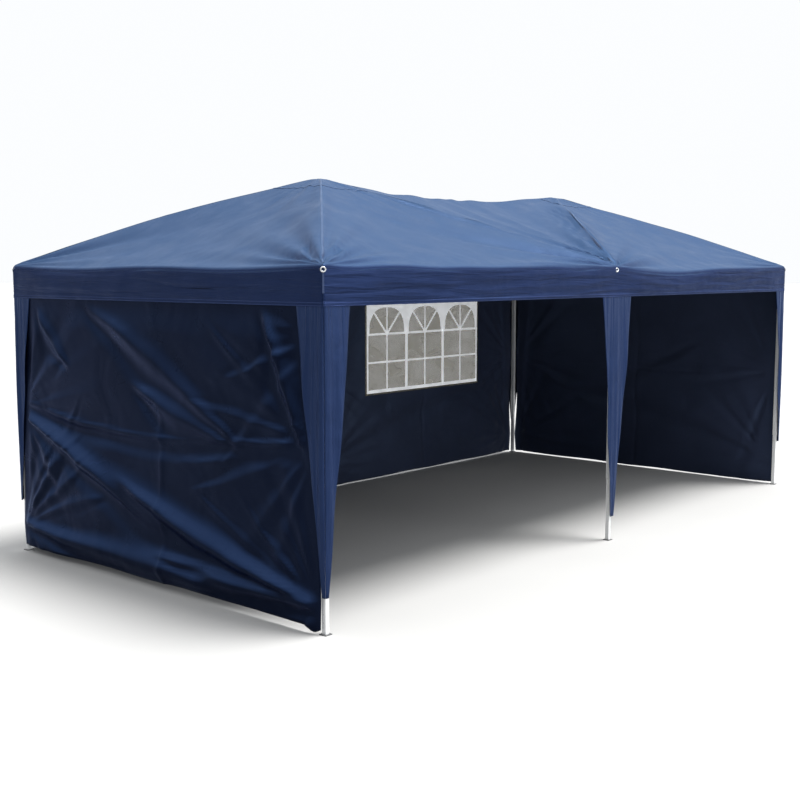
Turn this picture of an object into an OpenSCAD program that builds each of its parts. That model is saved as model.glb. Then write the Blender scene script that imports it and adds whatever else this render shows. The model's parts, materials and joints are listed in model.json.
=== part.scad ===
// Pop up gazebo: six telescopic legs, folding trusses, two roof hubs and a fabric cover.
// Origin: centre of the footprint on the ground. X runs along the long side, -Y is the open front.

/* [Overall] */
// Distance between neighbouring legs, centre to centre
bay = 2950; // [2700:10:3200]
// Height of the canopy's eave
eave_h = 2000; // [1900:5:2200]
// Height of the two canopy peaks
peak_h = 2614; // [2450:2:2750]
// Height of the ridge half way between the peaks
ridge_mid_h = 2535; // [2300:5:2600]
// Depth of the valance below the eave
valance_drop = 220; // [150:5:260]

/* [Legs] */
// Outside width of the upper leg tube
outer_tube = 32; // [28:1:34]
// Outside width of the telescoping lower leg tube
inner_tube = 28; // [20:1:29]
// Wall of both leg tubes
leg_wall = 1; // [0.8:0.1:1.5]
// Height of the lower end of the upper leg tube
outer_bottom = 460; // [450:5:470]
// Height of the spring button above the lower end of the upper leg
button_rise = 15; // [12:1:18]
// How far the lower leg reaches up into the upper one
leg_overlap = 295; // [150:10:400]
// Side of the square foot plate
foot_side = 50; // [40:1:60]
// Thickness of the foot plate
foot_t = 5; // [3:0.5:8]

/* [Trusses] */
// Distance from a leg's centre to the pins of its truss bars
pin_out = 60; // [56:1:70]
// Height between a leg's top pins and its slider's pins when open
truss_depth = 100; // [90:5:140]
// Height of a truss bar
bar_h = 24; // [20:1:26]
// Thickness of a truss bar
bar_t = 12; // [10:0.5:12]
// Wall of the truss bars and roof arms
bar_wall = 0.8; // [0.8:0.1:1.5]
// Diameter of the pins and rivets
pin_d = 6; // [5:0.5:8]

/* [Roof arms] */
// Height of a roof arm
arm_h = 18; // [16:1:20]
// Thickness of a roof arm
arm_t = 10; // [8:0.5:10]
// Level distance covered by the outer half of an arm, leg pin to elbow
elbow_reach = 878; // [820:2:900]
// Rise from the arm's leg pin to its hub pin
arm_rise = 582; // [560:2:590]
// Sideways set of the outer half from the leg's diagonal
arm_set = 19; // [18:0.5:22]

/* [Fabric] */
// Thickness of the cover and walls
cloth_t = 1; // [1:0.5:3]
// Distance from a leg's centre to the outside of the valance
cover_out = 30; // [29:0.5:40]
// Width of a leg skirt at the valance
skirt_w = 205; // [150:5:260]
// Height of a leg skirt's tip
skirt_tip_h = 250; // [180:10:500]
// Rise of the corner ridges above a straight line at their middle
hip_rise = 40; // [0:5:50]
// Height of the lower edge of the walls
wall_bottom = 50; // [30:5:100]
// Width of a wall window
window_w = 1690; // [1200:10:2000]
// Height of a wall window
window_h = 830; // [600:10:1000]
// Height of a window's lower edge
window_bottom = 820; // [600:10:1000]

/* [Hidden] */
$fn = 40;

pin_r = pin_d / 2;
hole_r = pin_r + 0.1;
// Heights of the pins of the open frame
top_z = eave_h - 70;
slide_z = top_z - truss_depth;
arm_z = eave_h - 22;
hub_z = arm_z + arm_rise;
// Half a bay between the pins, and the pin to pin length and slope of a truss bar
bar_run = bay / 2 - pin_out;
bar_len = sqrt(bar_run * bar_run + truss_depth * truss_depth);
bar_slope = atan(truss_depth / bar_run);
bar_set = bar_t / 2 + 1;
// Forks that hold the bars
cheek_t = 4;
gap = 0.3;
tube_fit = 0.5;
// Roof arms, in the upright plane from a corner leg to its hub
arm_out = 50;
diag = bay / 2 * sqrt(2);
hub_in = pin_out * sqrt(2) - arm_out;
arm_run = diag - arm_out - hub_in;
elbow_rise = (arm_rise - arm_run * truss_depth / bar_run) / 2;
outer_slope = atan(elbow_rise / elbow_reach);
outer_len = elbow_reach / cos(outer_slope);
inner_run = arm_run - elbow_reach;
inner_slope = atan((arm_rise - elbow_rise) / inner_run);
inner_len = inner_run / cos(inner_slope);
inner_set = arm_set + arm_t + 1.5;
steel = "GhostWhite";
plastic = "DimGray";
navy = "MidnightBlue";

// A straight tube with rounded ends and a pin hole at each end and at the marks between
module tube_bar(length, high, thick, marks) {
    difference() {
        rotate([90, 0, 0])
        linear_extrude(thick, center = true)
        union() {
            translate([length / 2, 0])
            square([length, high], center = true);
            circle(high / 2);
            translate([length, 0])
            circle(high / 2);
        }
        translate([length / 2, 0, 0])
        cube([length + 2 * high, thick - 2 * bar_wall, high - 2 * bar_wall], center = true);
        for (x = marks)
            translate([x, 0, 0])
            rotate([90, 0, 0])
            cylinder(h = thick + 2, r = hole_r, center = true);
    }
}

// A pin along Y from y0 to y1 with a flat head past each end
module pin(y0, y1) {
    translate([0, y1, 0])
    rotate([90, 0, 0])
    cylinder(h = y1 - y0, r = pin_r);
    translate([0, y0, 0])
    rotate([90, 0, 0])
    cylinder(h = 1.6, r = pin_r + 2.5);
    translate([0, y1 + 1.6, 0])
    rotate([90, 0, 0])
    cylinder(h = 1.6, r = pin_r + 2.5);
}

// One truss bar between two pin points, set to one side of the truss plane
module truss_bar(x, z, turn, side) {
    color(steel)
    translate([x, side * bar_set, z])
    rotate([0, turn, 0])
    tube_bar(bar_len, bar_h, bar_t, [0, bar_len / 2, bar_len]);
}

// The rivet where two bars of a truss meet
module truss_rivet(x, z) {
    color("Silver")
    translate([x, 0, z])
    pin(-bar_set - bar_t / 2 - gap, bar_set + bar_t / 2 + gap);
}

// Bars of one truss: legs at 0 and at bay along X
module top_1() {
    truss_bar(pin_out, top_z, bar_slope, 1);
    truss_rivet(pin_out + bar_run / 2, top_z - truss_depth / 2);
    truss_rivet(pin_out + bar_run, slide_z);
}

module slide_1() {
    truss_bar(pin_out, slide_z, -bar_slope, -1);
    truss_rivet(pin_out + bar_run, top_z);
}

module top_2() {
    truss_bar(bay - pin_out, top_z, 180 - bar_slope, -1);
    truss_rivet(pin_out + 1.5 * bar_run, top_z - truss_depth / 2);
}

module slide_2() {
    truss_bar(bay - pin_out, slide_z, 180 + bar_slope, 1);
}

// A fork with two cheeks for a bar pinned at distance out along X
module fork(out, high, thick, set, root) {
    for (side = [-1, 1])
        translate([0, set + side * (thick / 2 + gap + cheek_t / 2), 0])
        rotate([90, 0, 0])
        linear_extrude(cheek_t, center = true)
        difference() {
            union() {
                translate([root, -high / 2])
                square([out - root, high]);
                translate([out, 0])
                circle(high / 2);
            }
            translate([out, 0])
            circle(pin_r);
        }
}

module fork_pin(out, thick, set) {
    translate([out, set, 0])
    pin(-thick / 2 - gap - cheek_t, thick / 2 + gap + cheek_t);
}

// Upper leg with its top bracket; dirs are the compass turns of its trusses, corner that of its roof arm
module leg(dirs, corner) {
    color(steel)
    difference() {
        translate([-outer_tube / 2, -outer_tube / 2, outer_bottom])
        cube([outer_tube, outer_tube, arm_z - 20 - outer_bottom]);
        translate([0, 0, 1200])
        cube([outer_tube - 2 * leg_wall, outer_tube - 2 * leg_wall, 2000], center = true);
        translate([0, 0, outer_bottom + button_rise])
        rotate([90, 0, 0])
        cylinder(h = 40, r = 4.5);
    }
    color("Silver")
    translate([0, -outer_tube / 2 + leg_wall + 0.2, outer_bottom + button_rise])
    rotate([90, 0, 0])
    cylinder(h = leg_wall + 3, r = 4.4);
    color(plastic) {
        difference() {
            union() {
                translate([-19, -19, top_z - 24])
                cube([38, 38, arm_z + 12 - top_z + 24]);
                for (turn = dirs)
                    rotate([0, 0, turn])
                    translate([0, 0, top_z])
                    fork(pin_out, 24, bar_t, bar_set, 15);
                if (corner >= 0)
                    rotate([0, 0, corner])
                    translate([0, 0, arm_z]) {
                        fork(arm_out, 22, arm_t, -arm_set, 0);
                        translate([0, -arm_set - arm_t / 2 - gap - cheek_t, -11])
                        cube([arm_out - 12, arm_set + arm_t, 22]);
                    }
            }
            translate([0, 0, (top_z + arm_z) / 2 - 70])
            cube([outer_tube, outer_tube, arm_z - top_z + 100], center = true);
        }
    }
    color("Silver") {
        for (turn = dirs)
            rotate([0, 0, turn])
            translate([0, 0, top_z])
            fork_pin(pin_out, bar_t, bar_set);
        if (corner >= 0)
            rotate([0, 0, corner])
            translate([0, 0, arm_z])
            fork_pin(arm_out, arm_t, -arm_set);
    }
}

// Lower leg with its adjusting holes and foot plate
module inner_leg() {
    color(steel)
    difference() {
        translate([-inner_tube / 2, -inner_tube / 2, foot_t])
        cube([inner_tube, inner_tube, outer_bottom + leg_overlap - foot_t]);
        translate([0, 0, 500 + foot_t])
        cube([inner_tube - 2 * leg_wall, inner_tube - 2 * leg_wall, 1000], center = true);
        for (z = [280, 340, 400])
            translate([0, 0, z])
            rotate([90, 0, 0])
            cylinder(h = 40, r = 3.5);
    }
    color(plastic)
    difference() {
        translate([-foot_side / 2, -foot_side / 2, 0])
        cube([foot_side, foot_side, foot_t]);
        for (s = [-1, 1])
            translate([s * 19.5, s * 19.5, -1])
            cylinder(h = foot_t + 2, r = 2.8);
    }
}

// Sleeve that runs on the upper leg and carries the lower truss pins
module slider(dirs) {
    color(plastic)
    difference() {
        union() {
            translate([-20, -20, slide_z - 22])
            cube([40, 40, 44]);
            for (turn = dirs)
                rotate([0, 0, turn])
                translate([0, 0, slide_z])
                fork(pin_out, 24, bar_t, -bar_set, 18);
        }
        translate([0, 0, slide_z])
        cube([outer_tube + 2 * tube_fit, outer_tube + 2 * tube_fit, 60], center = true);
    }
    color("Silver")
    for (turn = dirs)
        rotate([0, 0, turn])
        translate([0, 0, slide_z])
        fork_pin(pin_out, bar_t, -bar_set);
}

// Roof arm halves, drawn from the corner leg along X
module arm_outer() {
    color(steel)
    translate([arm_out, -arm_set, arm_z])
    rotate([0, -outer_slope, 0])
    tube_bar(outer_len, arm_h, arm_t, [0, outer_len]);
    color("Silver")
    translate([arm_out + elbow_reach, 0, arm_z + elbow_rise])
    pin(-inner_set - arm_t / 2 - gap, -arm_set + arm_t / 2 + gap);
}

module arm_inner() {
    color(steel)
    translate([arm_out + elbow_reach, -inner_set, arm_z + elbow_rise])
    rotate([0, -inner_slope, 0])
    tube_bar(inner_len, arm_h, arm_t, [0, inner_len]);
}

// Hub under a peak, with a fork for each arm; turns point from the hub to the legs
module hub(turns) {
    color(plastic) {
        translate([0, 0, hub_z - 10])
        cylinder(h = 22, r = 27);
        translate([0, 0, hub_z + 12])
        cylinder(h = 12, r1 = 22, r2 = 14);
        for (turn = turns)
            rotate([0, 0, turn])
            translate([0, 0, hub_z]) {
                fork(hub_in, 20, arm_t, inner_set, -10);
                translate([-10, 0, -10])
                cube([hub_in - 3, inner_set + arm_t / 2 + gap + cheek_t, 20]);
            }
    }
    color("Silver")
    for (turn = turns)
        rotate([0, 0, turn])
        translate([0, 0, hub_z])
        fork_pin(hub_in, arm_t, inner_set);
}

// Solid bounded by the roof surface set in by some depth, down to the given height
module roof_solid(inset, low) {
    ex = bay + cover_out - inset;
    ey = bay / 2 + cover_out - inset;
    ez = eave_h - inset;
    px = bay / 2;
    pz = peak_h - 1.1 * inset;
    rz = ridge_mid_h - 1.1 * inset;
    hx = (ex + px) / 2;
    hy = ey / 2;
    hz = (ez + pz) / 2 + hip_rise;
    polyhedron(
        points = [
            [-ex, -ey, low], [0, -ey, low], [ex, -ey, low],
            [ex, ey, low], [0, ey, low], [-ex, ey, low],
            [-ex, -ey, ez], [0, -ey, ez], [ex, -ey, ez],
            [ex, ey, ez], [0, ey, ez], [-ex, ey, ez],
            [-px, 0, pz], [0, 0, rz], [px, 0, pz],
            [-hx, -hy, hz], [hx, -hy, hz], [hx, hy, hz], [-hx, hy, hz]
        ],
        faces = [
            [0, 1, 2, 3, 4, 5],
            [0, 6, 7, 1], [1, 7, 8, 2], [2, 8, 9, 3],
            [3, 9, 10, 4], [4, 10, 11, 5], [5, 11, 6, 0],
            [6, 15, 7], [15, 12, 7], [12, 13, 7], [13, 14, 7],
            [14, 16, 7], [16, 8, 7], [8, 16, 17, 9], [16, 14, 17],
            [9, 17, 10], [17, 14, 10], [14, 13, 10], [13, 12, 10],
            [12, 18, 10], [18, 11, 10], [11, 18, 15, 6], [18, 12, 15]
        ]
    );
}

// A tapered skirt flap in the XZ plane, from the corner at x = 0
module skirt_flap(width, tip) {
    top = eave_h - valance_drop + 6;
    translate([0, cloth_t, 0])
    rotate([90, 0, 0])
    linear_extrude(cloth_t)
    polygon([[0, top], [0, skirt_tip_h], [tip, skirt_tip_h], [width, top]]);
}

module corner_skirt() {
    skirt_flap(skirt_w, 22);
    mirror([1, -1, 0])
    skirt_flap(skirt_w, 22);
}

module canopy() {
    ex = bay + cover_out;
    ey = bay / 2 + cover_out;
    low = eave_h - valance_drop;
    color(navy) {
        difference() {
            roof_solid(0, low);
            roof_solid(cloth_t, low - 20);
        }
        for (sx = [0, 1])
            for (sy = [0, 1])
                mirror([sx, 0, 0])
                mirror([0, sy, 0])
                translate([-ex, -ey, 0])
                corner_skirt();
        for (sy = [0, 1])
            for (sx = [0, 1])
                mirror([0, sy, 0])
                mirror([sx, 0, 0])
                translate([0, -ey, 0])
                skirt_flap(skirt_w, 11);
    }
}

wall_out = cover_out - cloth_t - 1.5;
wall_top = eave_h - 60;

// A plain wall panel in the XZ plane with its lower edge drawn up at the legs
module wall_panel(width) {
    translate([0, 0, 0])
    rotate([90, 0, 0])
    linear_extrude(cloth_t)
    polygon([[0, wall_top], [0, wall_bottom + 25], [width * 0.08, wall_bottom + 5],
        [width * 0.3, wall_bottom], [width * 0.7, wall_bottom],
        [width * 0.92, wall_bottom + 5], [width, wall_bottom + 25], [width, wall_top]]);
}

module wall_end(side) {
    color(navy)
    translate([side * (bay + wall_out - (side > 0 ? 0 : cloth_t)), -bay / 2, 0])
    rotate([0, 0, 90])
    wall_panel(bay);
}

module walls_back() {
    color(navy)
    translate([0, bay / 2 + wall_out, 0])
    difference() {
        union() {
            translate([2, 0, 0])
            wall_panel(bay - 2);
            translate([-bay, 0, 0])
            wall_panel(bay - 2);
        }
        for (s = [-1, 1])
            translate([s * bay / 2, 0, window_bottom + window_h / 2])
            cube([window_w, 10 * cloth_t, window_h], center = true);
    }
    color("LightSteelBlue")
    for (s = [-1, 1])
        translate([s * bay / 2, bay / 2 + wall_out - cloth_t / 2, window_bottom + window_h / 2])
        cube([window_w, cloth_t / 2, window_h], center = true);
}

// Places a part at a leg; gx is -1, 0 or 1 along X and gy -1 or 1 along Y
module at_leg(gx, gy) {
    translate([gx * bay, gy * bay / 2, 0])
    children();
}

// Places a truss that starts at a leg and runs towards the given turn
module truss_at(gx, gy, turn) {
    at_leg(gx, gy)
    rotate([0, 0, turn])
    children();
}

at_leg(-1, -1) leg([0, 90], 45);  // leg_front_left
at_leg(0, -1) leg([0, 90, 180], -1);  // leg_front_middle
at_leg(1, -1) leg([90, 180], 135);  // leg_front_right
at_leg(-1, 1) leg([0, 270], 315);  // leg_back_left
at_leg(0, 1) leg([0, 180, 270], -1);  // leg_back_middle
at_leg(1, 1) leg([180, 270], 225);  // leg_back_right
at_leg(-1, -1) inner_leg();  // inner_leg_front_left
at_leg(0, -1) inner_leg();  // inner_leg_front_middle
at_leg(1, -1) inner_leg();  // inner_leg_front_right
at_leg(-1, 1) inner_leg();  // inner_leg_back_left
at_leg(0, 1) inner_leg();  // inner_leg_back_middle
at_leg(1, 1) inner_leg();  // inner_leg_back_right
at_leg(-1, -1) slider([0, 90]);  // slider_front_left
at_leg(0, -1) slider([0, 90, 180]);  // slider_front_middle
at_leg(1, -1) slider([90, 180]);  // slider_front_right
at_leg(-1, 1) slider([0, 270]);  // slider_back_left
at_leg(0, 1) slider([0, 180, 270]);  // slider_back_middle
at_leg(1, 1) slider([180, 270]);  // slider_back_right
truss_at(0, 1, 180) top_1();  // truss_back_left_top_1
truss_at(0, 1, 180) top_2();  // truss_back_left_top_2
truss_at(0, 1, 180) slide_1();  // truss_back_left_slide_1
truss_at(0, 1, 180) slide_2();  // truss_back_left_slide_2
truss_at(0, 1, 0) top_1();  // truss_back_right_top_1
truss_at(0, 1, 0) top_2();  // truss_back_right_top_2
truss_at(0, 1, 0) slide_1();  // truss_back_right_slide_1
truss_at(0, 1, 0) slide_2();  // truss_back_right_slide_2
truss_at(0, 1, 270) top_1();  // truss_middle_top_1
truss_at(0, 1, 270) top_2();  // truss_middle_top_2
truss_at(0, 1, 270) slide_1();  // truss_middle_slide_1
truss_at(0, 1, 270) slide_2();  // truss_middle_slide_2
truss_at(0, -1, 180) top_1();  // truss_front_left_top_1
truss_at(0, -1, 180) top_2();  // truss_front_left_top_2
truss_at(0, -1, 180) slide_1();  // truss_front_left_slide_1
truss_at(0, -1, 180) slide_2();  // truss_front_left_slide_2
truss_at(0, -1, 0) top_1();  // truss_front_right_top_1
truss_at(0, -1, 0) top_2();  // truss_front_right_top_2
truss_at(0, -1, 0) slide_1();  // truss_front_right_slide_1
truss_at(0, -1, 0) slide_2();  // truss_front_right_slide_2
truss_at(-1, 1, 270) top_1();  // truss_left_end_top_1
truss_at(-1, 1, 270) top_2();  // truss_left_end_top_2
truss_at(-1, 1, 270) slide_1();  // truss_left_end_slide_1
truss_at(-1, 1, 270) slide_2();  // truss_left_end_slide_2
truss_at(1, 1, 270) top_1();  // truss_right_end_top_1
truss_at(1, 1, 270) top_2();  // truss_right_end_top_2
truss_at(1, 1, 270) slide_1();  // truss_right_end_slide_1
truss_at(1, 1, 270) slide_2();  // truss_right_end_slide_2
truss_at(-1, -1, 45) arm_outer();  // arm_outer_front_left
truss_at(1, -1, 135) arm_outer();  // arm_outer_front_right
truss_at(-1, 1, 315) arm_outer();  // arm_outer_back_left
truss_at(1, 1, 225) arm_outer();  // arm_outer_back_right
truss_at(-1, -1, 45) arm_inner();  // arm_inner_front_left
truss_at(1, -1, 135) arm_inner();  // arm_inner_front_right
truss_at(-1, 1, 315) arm_inner();  // arm_inner_back_left
truss_at(1, 1, 225) arm_inner();  // arm_inner_back_right
translate([-bay / 2, 0, 0]) hub([135, 225]);  // hub_left
translate([bay / 2, 0, 0]) hub([45, 315]);  // hub_right
canopy();
wall_end(-1);  // wall_left
wall_end(1);  // wall_right
walls_back();
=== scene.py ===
import json
import math

import bpy
import numpy as np
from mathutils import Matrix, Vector

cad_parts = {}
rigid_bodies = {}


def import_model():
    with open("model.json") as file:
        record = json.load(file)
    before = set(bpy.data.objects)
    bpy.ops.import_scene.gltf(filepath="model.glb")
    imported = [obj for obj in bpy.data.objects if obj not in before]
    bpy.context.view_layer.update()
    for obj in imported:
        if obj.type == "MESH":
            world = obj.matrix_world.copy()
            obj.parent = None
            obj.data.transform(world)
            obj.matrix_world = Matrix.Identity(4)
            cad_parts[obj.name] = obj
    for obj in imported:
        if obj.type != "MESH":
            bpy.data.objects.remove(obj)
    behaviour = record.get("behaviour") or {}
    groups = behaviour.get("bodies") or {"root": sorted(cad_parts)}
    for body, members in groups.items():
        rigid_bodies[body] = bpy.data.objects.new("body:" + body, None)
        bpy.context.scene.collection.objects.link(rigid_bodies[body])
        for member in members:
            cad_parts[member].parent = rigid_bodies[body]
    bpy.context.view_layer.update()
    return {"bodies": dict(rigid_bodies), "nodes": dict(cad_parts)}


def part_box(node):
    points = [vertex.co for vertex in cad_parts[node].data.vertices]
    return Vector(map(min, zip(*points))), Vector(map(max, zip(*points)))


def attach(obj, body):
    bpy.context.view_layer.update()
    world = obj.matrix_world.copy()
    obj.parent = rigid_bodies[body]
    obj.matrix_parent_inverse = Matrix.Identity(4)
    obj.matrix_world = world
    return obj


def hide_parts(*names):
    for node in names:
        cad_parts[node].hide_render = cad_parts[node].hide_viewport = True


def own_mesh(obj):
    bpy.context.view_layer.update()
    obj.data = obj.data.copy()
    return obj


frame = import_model()

# ---------- sizes, in metres
cover_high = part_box("canopy")[1]
HALF_X, HALF_Y, PEAK = cover_high.x, cover_high.y, cover_high.z - 0.001
LEG_X, LEG_Y = 2.95, 1.475  # the legs' axes, from the middle of the plan
EAVE = 2.0
SLOPE = (PEAK - EAVE) / HALF_Y
VALANCE = 0.22  # the valance's height
CLOTH = 0.0012
LEGS = {
    "front_left": (-1, -1), "front_middle": (0, -1), "front_right": (1, -1),
    "back_left": (-1, 1), "back_middle": (0, 1), "back_right": (1, 1),
}

# ---------- camera, floor and light
CAMERA_PLACE = (-7.309, -5.783, 1.972)
LOOK_DOWN, LOOK_TURN = 6.412, -49.117  # degrees
LENS, SENSOR = 52.1, 36  # millimetres
FLOOR_SIZE = 300
SUN_WAY, SUN_POWER, SUN_ANGLE = (-0.26, 0.27, -1.0), 6.6, 24
FILL_PLACE, FILL_AIM, FILL_SIZE, FILL_POWER = (1.0, -11.0, 3.5), (0, 0, 1.2), 5.0, 330

camera = bpy.data.objects.new("camera", bpy.data.cameras.new("camera"))
bpy.context.scene.collection.objects.link(camera)
camera.location = CAMERA_PLACE
camera.rotation_euler = (math.radians(90 - LOOK_DOWN), 0, math.radians(LOOK_TURN))
camera.data.lens, camera.data.sensor_width = LENS, SENSOR
camera.data.clip_start, camera.data.clip_end = 0.05, 400
bpy.context.scene.camera = camera
bpy.context.scene.view_settings.view_transform = "Standard"

bpy.ops.mesh.primitive_plane_add(size=FLOOR_SIZE, location=(0, 0, 0))
floor = bpy.context.object
floor.name = "floor"


def lamp(name, kind, power, tint, way):
    """A light that shines along way."""
    light = bpy.data.objects.new(name, bpy.data.lights.new(name, kind))
    light.data.energy, light.data.color = power, tint
    light.rotation_euler = Vector(way).to_track_quat("-Z", "Y").to_euler()
    bpy.context.scene.collection.objects.link(light)
    return light


sunlight = lamp("key", "SUN", SUN_POWER, (1.0, 0.985, 0.96), SUN_WAY)
sunlight.data.angle = math.radians(SUN_ANGLE)
fill = lamp("fill", "AREA", FILL_POWER, (0.96, 0.98, 1.0), Vector(FILL_AIM) - Vector(FILL_PLACE))
fill.data.size, fill.location = FILL_SIZE, FILL_PLACE


# ---------- materials
class Paint:
    """A material built from nodes; make() adds a node, and link() joins an output to an input."""

    def __init__(self, name):
        self.material = bpy.data.materials.new(name)
        self.material.use_nodes = True
        self.tree = self.material.node_tree
        self.shader = self.tree.nodes["Principled BSDF"]
        self.coords = self.tree.nodes.new("ShaderNodeTexCoord")

    def make(self, kind, source=None, entry=0, **values):
        made = self.tree.nodes.new(kind)
        for setting, value in values.items():
            setattr(made, setting, value)
        if source is not None:
            self.tree.links.new(source, made.inputs[entry])
        return made

    def link(self, source, target):
        self.tree.links.new(source, target)

    def stretched(self, space, scale, turn=0.0):
        """Texture coordinates scaled by three numbers and turned about Z."""
        made = self.make("ShaderNodeMapping", self.coords.outputs[space])
        made.inputs["Scale"].default_value = scale
        made.inputs["Rotation"].default_value = (0, 0, turn)
        return made.outputs[0]

    def noise(self, vector, scale, detail, distortion=0.0):
        made = self.make("ShaderNodeTexNoise", vector, "Vector")
        made.inputs["Scale"].default_value = scale
        made.inputs["Detail"].default_value = detail
        made.inputs["Distortion"].default_value = distortion
        return made.outputs[0]

    def span(self, source, low, high, start=0.3, end=0.7):
        """Source between start and end, spread over low to high."""
        made = self.make("ShaderNodeMapRange", source)
        for socket, value in zip(("From Min", "From Max", "To Min", "To Max"), (start, end, low, high)):
            made.inputs[socket].default_value = value
        return made.outputs[0]

    def math(self, operation, a, b=None, value=0.5):
        """An operation on output a, with output b or else a plain value."""
        made = self.make("ShaderNodeMath", a, operation=operation)
        if b is not None:
            self.link(b, made.inputs[1])
        else:
            made.inputs[1].default_value = value
        return made.outputs[0]

    def blend(self, factor, a, b):
        """Mix of two colours or colour outputs."""
        made = self.make("ShaderNodeMix", data_type="RGBA")
        self.link(factor, made.inputs["Factor"])
        for slot, colour in ((6, a), (7, b)):
            if isinstance(colour, tuple):
                made.inputs[slot].default_value = (*colour, 1)
            else:
                self.link(colour, made.inputs[slot])
        return made.outputs[2]

    def bump(self, height, distance, strength=1.0, under=None):
        made = self.make("ShaderNodeBump", height, "Height")
        made.inputs["Distance"].default_value = distance
        made.inputs["Strength"].default_value = strength
        if under is not None:
            self.link(under, made.inputs["Normal"])
        return made.outputs[0]

    def finish(self, colour=None, roughness=None, normal=None, **constants):
        for name, source in (("Base Color", colour), ("Roughness", roughness), ("Normal", normal)):
            if source is not None:
                self.link(source, self.shader.inputs[name])
        for socket, value in constants.items():
            self.shader.inputs[socket.replace("_", " ")].default_value = value
        return self.material


THREAD_SCALE, STITCHES_PER_METRE, STITCH_HALF = 420, 210, 0.0011
SHEEN_TINT = (0.34, 0.56, 1.0, 1)


def cloth_paint(name, shade, lit, gloss, specular, crumple=1.0, painted_light_tone=None, hang=None, stitches=(),
                satin=0.0, tilt=(0.35, 0.9)):
    """Coated polyester: plain weave, small crumples, colour that drifts, and a coating with a soft sheen.
    The tone given for up-facing cloth is painted light: a paler colour on what faces up, over the range of
    tilt, standing in for light from above. hang stretches the creases of upright cloth, and stitches are
    heights of stitched lines."""
    p = Paint(name)
    flat = p.coords.outputs["UV"]
    drift = p.noise(p.stretched("UV", (1, 1, 1)), 1.6, 5, 0.4)
    colour = p.blend(p.span(drift, 0, 1), shade, lit)
    # painted light: cloth that faces up is painted paler, standing in for light from above
    if painted_light_tone is not None:
        facing = p.make("ShaderNodeNewGeometry")
        split = p.make("ShaderNodeSeparateXYZ", facing.outputs["Normal"])
        colour = p.blend(p.span(split.outputs[2], 0, 1, *tilt), colour, painted_light_tone)
    for level in stitches:
        split = p.make("ShaderNodeSeparateXYZ", flat)
        line = p.math("COMPARE", split.outputs[1], None, level)
        line.node.inputs[2].default_value = STITCH_HALF
        along = p.math("MULTIPLY", split.outputs[0], None, STITCHES_PER_METRE)
        dash = p.math("GREATER_THAN", p.math("FRACT", along), None, 0.3)
        colour = p.blend(p.math("MULTIPLY", line, dash), colour, tuple(2.4 * c + 0.02 for c in lit))
    dust = p.noise(flat, 34, 8)
    colour = p.blend(p.span(dust, 0, 0.22, 0.55, 0.8), colour, tuple(c * 1.35 + 0.003 for c in lit))
    roughness = p.span(p.noise(flat, 5, 6, 0.3), gloss - 0.07, gloss + 0.09)
    weave = None
    for turn in (0.0, math.pi / 2):
        thread = p.make("ShaderNodeTexWave", p.stretched("UV", (1, 1, 1), turn), "Vector")
        thread.inputs["Scale"].default_value = THREAD_SCALE
        thread.inputs["Distortion"].default_value = 0.6
        weave = thread.outputs[1] if weave is None else p.math("MULTIPLY", weave, thread.outputs[1])
    rumple = p.noise(p.stretched("UV", (1, 2.2, 1), 0.5), 4, 1.5, 0.5)
    soft = p.noise(p.stretched("UV", (1, 1, 1), -0.4), 2.6, 2, 0.8)
    normal = p.bump(soft, 0.016 * crumple)
    normal = p.bump(rumple, 0.005 * crumple, 0.7, normal)
    if hang is not None:
        facing = p.make("ShaderNodeNewGeometry")
        split = p.make("ShaderNodeSeparateXYZ", facing.outputs["Normal"])
        upright = p.span(split.outputs[2], 1, 0, 0.1, 0.4)
        pucker = p.math("MULTIPLY", p.noise(p.stretched("UV", hang), 3.2, 2.5, 0.7), upright)
        normal = p.bump(pucker, 0.022, 1.0, normal)
    normal = p.bump(weave, 0.00025, 0.6, normal)
    return p.finish(colour, roughness, normal, Specular_IOR_Level=specular, Metallic=satin,
                    Specular_Tint=SHEEN_TINT)


FOOT_DARK_GREY, BLACK_PLASTIC = (0.11, 0.11, 0.115), (0.028, 0.029, 0.032)


def metal_paint(name, base, worn, rough, metallic, plastic_above=None, dark_below=None):
    """Enamelled steel tube, with faint streaks, scuffs and a worn tone; black plastic above a height, and
    dark grey below another."""
    p = Paint(name)
    streaks = p.noise(p.stretched("Object", (40, 40, 1.2)), 3, 5)
    scuffs = p.noise(p.stretched("Object", (6, 6, 6)), 9, 9, 0.3)
    colour = p.blend(p.span(streaks, 0, 1), base, worn)
    colour = p.blend(p.span(scuffs, 0, 0.55, 0.62, 0.72), colour, tuple(c * 0.6 for c in base))
    roughness = p.span(scuffs, rough - 0.08, rough + 0.14)
    normal = p.bump(p.noise(p.stretched("Object", (1, 1, 1)), 220, 2), 0.0002, 0.5)
    if dark_below is not None:
        # dark grey below the given height, the top of the foot plate
        place = p.make("ShaderNodeSeparateXYZ", p.coords.outputs["Object"])
        colour = p.blend(p.math("LESS_THAN", place.outputs[2], None, dark_below), colour, FOOT_DARK_GREY)
    if plastic_above is None:
        return p.finish(colour, roughness, normal, Metallic=metallic)
    place = p.make("ShaderNodeSeparateXYZ", p.coords.outputs["Object"])
    above = p.math("GREATER_THAN", place.outputs[2], None, plastic_above)
    colour = p.blend(above, colour, BLACK_PLASTIC)
    metal = p.math("MULTIPLY", p.math("SUBTRACT", above, None, 1.0), None, -metallic)
    p.link(metal, p.shader.inputs["Metallic"])
    return p.finish(colour, roughness, normal)


def plastic_paint(name, base, rough):
    """Moulded plastic with a fine grain and dusty patches."""
    p = Paint(name)
    grain = p.noise(p.stretched("Object", (1, 1, 1)), 900, 2)
    patch = p.noise(p.stretched("Object", (1, 1, 1)), 14, 6)
    colour = p.blend(p.span(patch, 0, 1), base, tuple(c * 1.7 + 0.012 for c in base))
    return p.finish(colour, p.span(patch, rough - 0.06, rough + 0.1), p.bump(grain, 0.0001, 0.7))


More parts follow.
